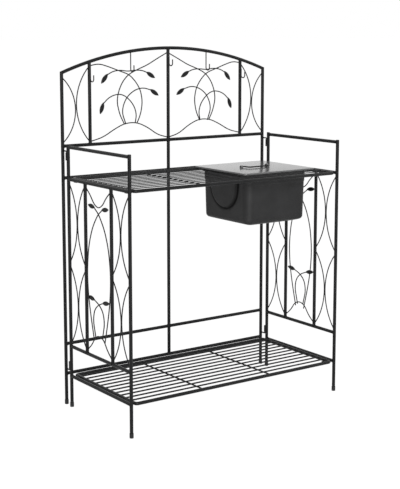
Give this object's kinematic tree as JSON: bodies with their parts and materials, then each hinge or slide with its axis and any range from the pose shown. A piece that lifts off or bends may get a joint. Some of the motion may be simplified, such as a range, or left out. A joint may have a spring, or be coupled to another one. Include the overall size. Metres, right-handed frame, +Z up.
{
  "type": "potting bench",
  "caption": "Folding metal potting bench with an arched scrollwork back, hinged side frames, rod shelves, tool hooks and a lidded tub let into the top shelf.",
  "frame": {"origin": "on the ground under the middle of the bench's outer box", "axes": "+Z up, -Y towards the front, +X to the right seen from the front"},
  "size_m": [0.902, 0.453, 1.2744],
  "materials": {
    "frame": "semi-gloss powder coat",
    "lid": "smooth semi-gloss",
    "tub": "matte",
    "caps": "matte"
  },
  "bodies": {
    "back_frame": {"arch_hooks": "frame", "back_arch": "frame", "back_bottom_rail": "frame", "back_centre_post": "frame", "back_foot_caps": "caps", "back_inner_upright_left": "frame", "back_inner_upright_right": "frame", "back_lower_rails": "frame", "back_mid_rails": "frame", "back_outer_wires": "frame", "back_scroll_left": "frame", "back_scroll_right": "frame", "back_shelf_rails": "frame", "back_stile_left": "frame", "back_stile_right": "frame", "hinge_pintles": "frame", "post_hooks": "frame"},
    "left_side": {"left_bottom_rail": "frame", "left_foot_caps": "caps", "left_front_leg": "frame", "left_hinge_barrels": "frame", "left_inner_bars": "frame", "left_lower_rail": "frame", "left_outer_wires": "frame", "left_rear_leg": "frame", "left_scroll": "frame", "left_shelf_brackets": "frame", "left_shelf_rail": "frame", "left_top_plugs": "caps", "left_top_rail": "frame"},
    "right_side": {"right_bottom_rail": "frame", "right_foot_caps": "caps", "right_front_leg": "frame", "right_hinge_barrels": "frame", "right_inner_bars": "frame", "right_lower_rail": "frame", "right_outer_wires": "frame", "right_rear_leg": "frame", "right_scroll": "frame", "right_shelf_brackets": "frame", "right_shelf_rail": "frame", "right_top_plugs": "caps", "right_top_rail": "frame"},
    "top_shelf": {"top_shelf_cross_wires": "frame", "top_shelf_frame": "frame", "top_shelf_opening_bars": "frame", "top_shelf_opening_edges": "frame", "top_shelf_rods": "frame"},
    "lower_shelf": {"lower_shelf_cross_wires": "frame", "lower_shelf_frame": "frame", "lower_shelf_rods": "frame"},
    "tub": {"tub": "tub"},
    "lid": {"lid": "lid", "lid_lugs": "lid"},
    "bail_handle": {"bail_handle": "frame"}
  },
  "joints": [
    {"name": "left_side_hinge", "type": "hinge", "parent": "back_frame", "child": "left_side", "pos_m": [-0.444, 0.191, 0.5], "axis": [0, 0, -1], "range_deg": [0, 90]},
    {"name": "right_side_hinge", "type": "hinge", "parent": "back_frame", "child": "right_side", "pos_m": [0.444, 0.191, 0.5], "axis": [0, 0, 1], "range_deg": [0, 90]},
    {"name": "top_shelf_lift", "type": "slide", "parent": "back_frame", "child": "top_shelf", "axis": [0, 0, 1], "range_m": [0, 0.32]},
    {"name": "lower_shelf_draw", "type": "slide", "parent": "back_frame", "child": "lower_shelf", "axis": [0, -1, 0], "range_m": [0, 0.45]},
    {"name": "tub_lift", "type": "slide", "parent": "top_shelf", "child": "tub", "axis": [0, 0, 1], "range_m": [0, 0.2]},
    {"name": "lid_lift", "type": "slide", "parent": "tub", "child": "lid", "axis": [0, 0, 1], "range_m": [0, 0.1]},
    {"name": "bail_swing", "type": "hinge", "parent": "lid", "child": "bail_handle", "pos_m": [0.2495, 0.02, 0.8358], "axis": [-1, 0, 0], "range_deg": [0, 180]}
  ]
}
